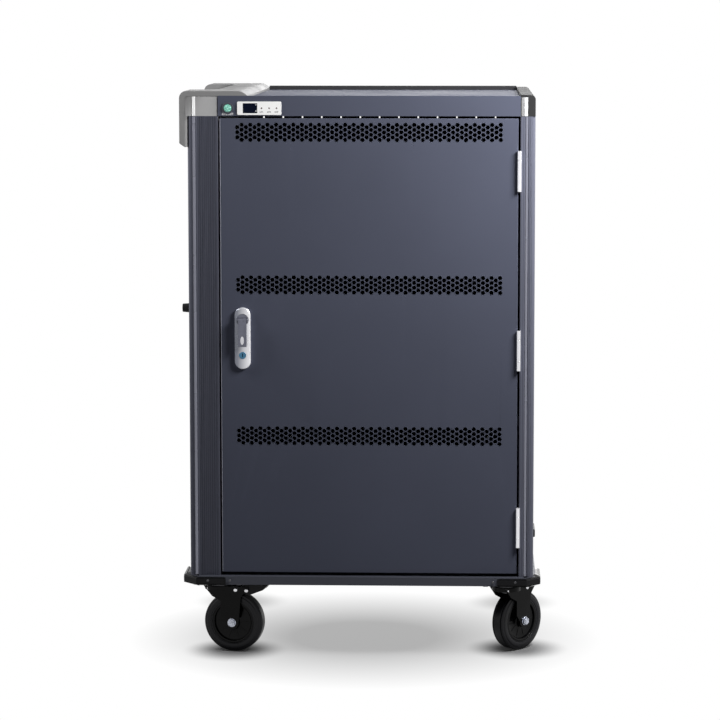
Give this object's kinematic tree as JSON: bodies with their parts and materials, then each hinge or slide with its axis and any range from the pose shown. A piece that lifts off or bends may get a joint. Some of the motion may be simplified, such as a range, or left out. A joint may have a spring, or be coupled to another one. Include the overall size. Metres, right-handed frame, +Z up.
{
  "type": "charging cart",
  "caption": "Mobile charging cabinet: vented lockable door, slotted shelves with power strips, header controls, top push handle and swivel casters with brakes.",
  "frame": {"origin": "on the floor, under the centre of the cart's footprint", "axes": "+Z up, the door faces -Y, +X to the viewer's right when facing the door"},
  "size_m": [0.6835, 0.6, 1.073],
  "materials": {
    "slate_steel": "satin slate-grey powder coat",
    "slate_aluminium": "satin slate-grey anodised extrusion",
    "base_grey": "satin dark grey powder coat",
    "light_grey_plastic": "fine matte moulded plastic",
    "mid_grey_plastic": "fine matte moulded plastic",
    "black_plastic": "matte black plastic",
    "black_steel": "black painted steel",
    "rubber": "matte black rubber",
    "zinc": "bright zinc plating",
    "hinge_steel": "brushed stainless steel",
    "lock_metal": "satin silver-grey die casting",
    "key_blue": "blue-tinted cap over steel",
    "lamp_green": "translucent green, lit",
    "white_plastic": "white plastic",
    "dark_window": "dark display window",
    "lamp_red": "small red lamps"
  },
  "bodies": {
    "cabinet": {"base_tray": "base_grey", "corner_bumpers": "black_plastic", "base_fasteners": "zinc", "post_front_left": "slate_aluminium", "post_front_right": "slate_aluminium", "post_rear_left": "slate_aluminium", "post_rear_right": "slate_aluminium", "side_panel_right": "slate_steel", "inner_wall": "slate_steel", "top_panel": "slate_steel", "fascia": "slate_steel", "handle_moulding": "light_grey_plastic", "grip_bar": "black_plastic", "right_trim": "mid_grey_plastic", "rear_rail": "mid_grey_plastic", "shelf_1": "slate_steel", "shelf_2": "slate_steel", "shelf_3": "slate_steel", "dividers": "slate_steel", "power_strips": "black_plastic", "control_box": "black_steel", "mains_inlet": "black_plastic", "rear_panel": "slate_steel", "frame_hinge_leaves": "hinge_steel", "hinge_pins": "hinge_steel", "display_housing": "white_plastic", "display_window": "dark_window", "indicator_lamps": "lamp_red", "switch_bezel": "zinc", "fan_frame": "black_plastic", "caster_plates": "black_steel"},
    "door": {"door_panel": "slate_steel", "door_hinge_leaves": "hinge_steel", "lock_housing": "lock_metal"},
    "lock_spindle": {"lock_spindle": "zinc"},
    "lock_lever": {"lock_lever": "lock_metal"},
    "lock_cylinder": {"lock_cylinder": "key_blue"},
    "power_button": {"power_button": "lamp_green"},
    "fan_rotor": {"fan_rotor": "black_plastic"},
    "side_panel": {"side_panel_left": "slate_steel", "side_lock_body": "black_plastic"},
    "side_lock": {"side_lock_cylinder": "zinc"},
    "caster_front_left": {"fork_front_left": "black_steel", "axle_front_left": "zinc"},
    "wheel_front_left": {"hub_front_left": "black_plastic", "tyre_front_left": "rubber"},
    "caster_front_right": {"fork_front_right": "black_steel", "axle_front_right": "zinc"},
    "wheel_front_right": {"hub_front_right": "black_plastic", "tyre_front_right": "rubber"},
    "caster_rear_left": {"fork_rear_left": "black_steel", "axle_rear_left": "zinc"},
    "wheel_rear_left": {"hub_rear_left": "black_plastic", "tyre_rear_left": "rubber"},
    "caster_rear_right": {"fork_rear_right": "black_steel", "axle_rear_right": "zinc"},
    "wheel_rear_right": {"hub_rear_right": "black_plastic", "tyre_rear_right": "rubber"},
    "pedal_front_left": {"brake_pedal_front_left": "black_steel"},
    "pedal_rear_left": {"brake_pedal_rear_left": "black_steel"}
  },
  "joints": [
    {"name": "door_hinge", "type": "hinge", "parent": "cabinet", "child": "door", "pos_m": [0.29535, -0.2895, 0.592], "axis": [0, 0, 1], "range_deg": [0, 180]},
    {"name": "lock_turn", "type": "hinge", "parent": "door", "child": "lock_spindle", "pos_m": [-0.223, -0.288, 0.644], "axis": [0, -1, 0], "range_deg": [0, 90]},
    {"name": "lever_lift", "type": "hinge", "parent": "lock_spindle", "child": "lock_lever", "pos_m": [-0.223, -0.2954, 0.644], "axis": [-1, 0, 0], "range_deg": [0, 45]},
    {"name": "key_turn", "type": "hinge", "parent": "door", "child": "lock_cylinder", "pos_m": [-0.223, -0.285, 0.577], "axis": [0, -1, 0], "range_deg": [0, 90]},
    {"name": "button_press", "type": "slide", "parent": "cabinet", "child": "power_button", "axis": [0, 1, 0], "range_m": [0, 0.002], "stiffness_N_per_m": 300},
    {"name": "fan_spin", "type": "hinge", "parent": "cabinet", "child": "fan_rotor", "pos_m": [0.015, 0.271, 0.9], "axis": [0, 1, 0], "continuous": true},
    {"name": "side_panel_off", "type": "slide", "parent": "cabinet", "child": "side_panel", "axis": [-1, 0, 0], "range_m": [0, 0.1]},
    {"name": "side_lock_turn", "type": "hinge", "parent": "side_panel", "child": "side_lock", "pos_m": [-0.325, -0.245, 0.662], "axis": [1, 0, 0], "range_deg": [0, 90]},
    {"name": "swivel_front_left", "type": "hinge", "parent": "cabinet", "child": "caster_front_left", "pos_m": [-0.275, -0.23, 0.12], "axis": [0, 0, 1], "continuous": true},
    {"name": "roll_front_left", "type": "hinge", "parent": "caster_front_left", "child": "wheel_front_left", "pos_m": [-0.24517, -0.23634, 0.0575], "axis": [0.2079, 0.9781, 0], "continuous": true},
    {"name": "brake_front_left", "type": "hinge", "parent": "caster_front_left", "child": "pedal_front_left", "pos_m": [-0.23, -0.23956, 0.1205], "axis": [0.2079, 0.9781, 0], "range_deg": [0, 12]},
    {"name": "swivel_front_right", "type": "hinge", "parent": "cabinet", "child": "caster_front_right", "pos_m": [0.275, -0.23, 0.12], "axis": [0, 0, 1], "continuous": true},
    {"name": "roll_front_right", "type": "hinge", "parent": "caster_front_right", "child": "wheel_front_right", "pos_m": [0.29561, -0.20751, 0.0575], "axis": [-0.7373, 0.6756, 0], "continuous": true},
    {"name": "swivel_rear_left", "type": "hinge", "parent": "cabinet", "child": "caster_rear_left", "pos_m": [-0.275, 0.23, 0.12], "axis": [0, 0, 1], "continuous": true},
    {"name": "roll_rear_left", "type": "hinge", "parent": "caster_rear_left", "child": "wheel_rear_left", "pos_m": [-0.2697, 0.19996, 0.0575], "axis": [0.9848, 0.1736, 0], "continuous": true},
    {"name": "brake_rear_left", "type": "hinge", "parent": "caster_rear_left", "child": "pedal_rear_left", "pos_m": [-0.26701, 0.1847, 0.1205], "axis": [0.9848, 0.1736, 0], "range_deg": [0, 12]},
    {"name": "swivel_rear_right", "type": "hinge", "parent": "cabinet", "child": "caster_rear_right", "pos_m": [0.275, 0.23, 0.12], "axis": [0, 0, 1], "continuous": true},
    {"name": "roll_rear_right", "type": "hinge", "parent": "caster_rear_right", "child": "wheel_rear_right", "pos_m": [0.29249, 0.20502, 0.0575], "axis": [0.8192, 0.5736, 0], "continuous": true}
  ]
}
